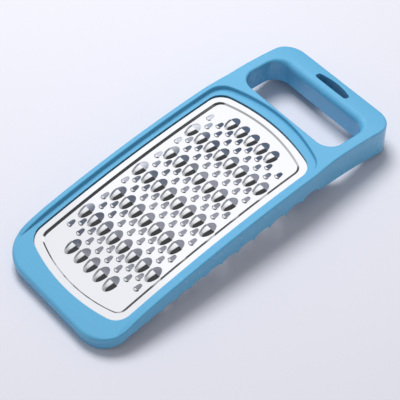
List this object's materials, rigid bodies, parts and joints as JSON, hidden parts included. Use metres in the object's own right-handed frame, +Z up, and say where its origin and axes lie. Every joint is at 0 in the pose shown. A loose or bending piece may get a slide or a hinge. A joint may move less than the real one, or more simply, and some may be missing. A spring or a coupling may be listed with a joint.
{
  "type": "vegetable grater",
  "caption": "Flat arched hand grater: a plastic frame with a finger opening and a hanging slot holds a stamped steel plate of large and small teeth.",
  "frame": {"origin": "middle of the bounding box, on the surface that the grater lies on", "axes": "+Z up, +Y along the grater towards the handle, X across"},
  "size_m": [0.1076, 0.26, 0.0334],
  "materials": {
    "blue_plastic": "satin",
    "stainless_steel": "bright",
    "blue_plastic_ring": "satin"
  },
  "bodies": {
    "root": {"frame": "blue_plastic", "grating_plate": "stainless_steel", "retaining_ring": "blue_plastic_ring"}
  },
  "joints": []
}
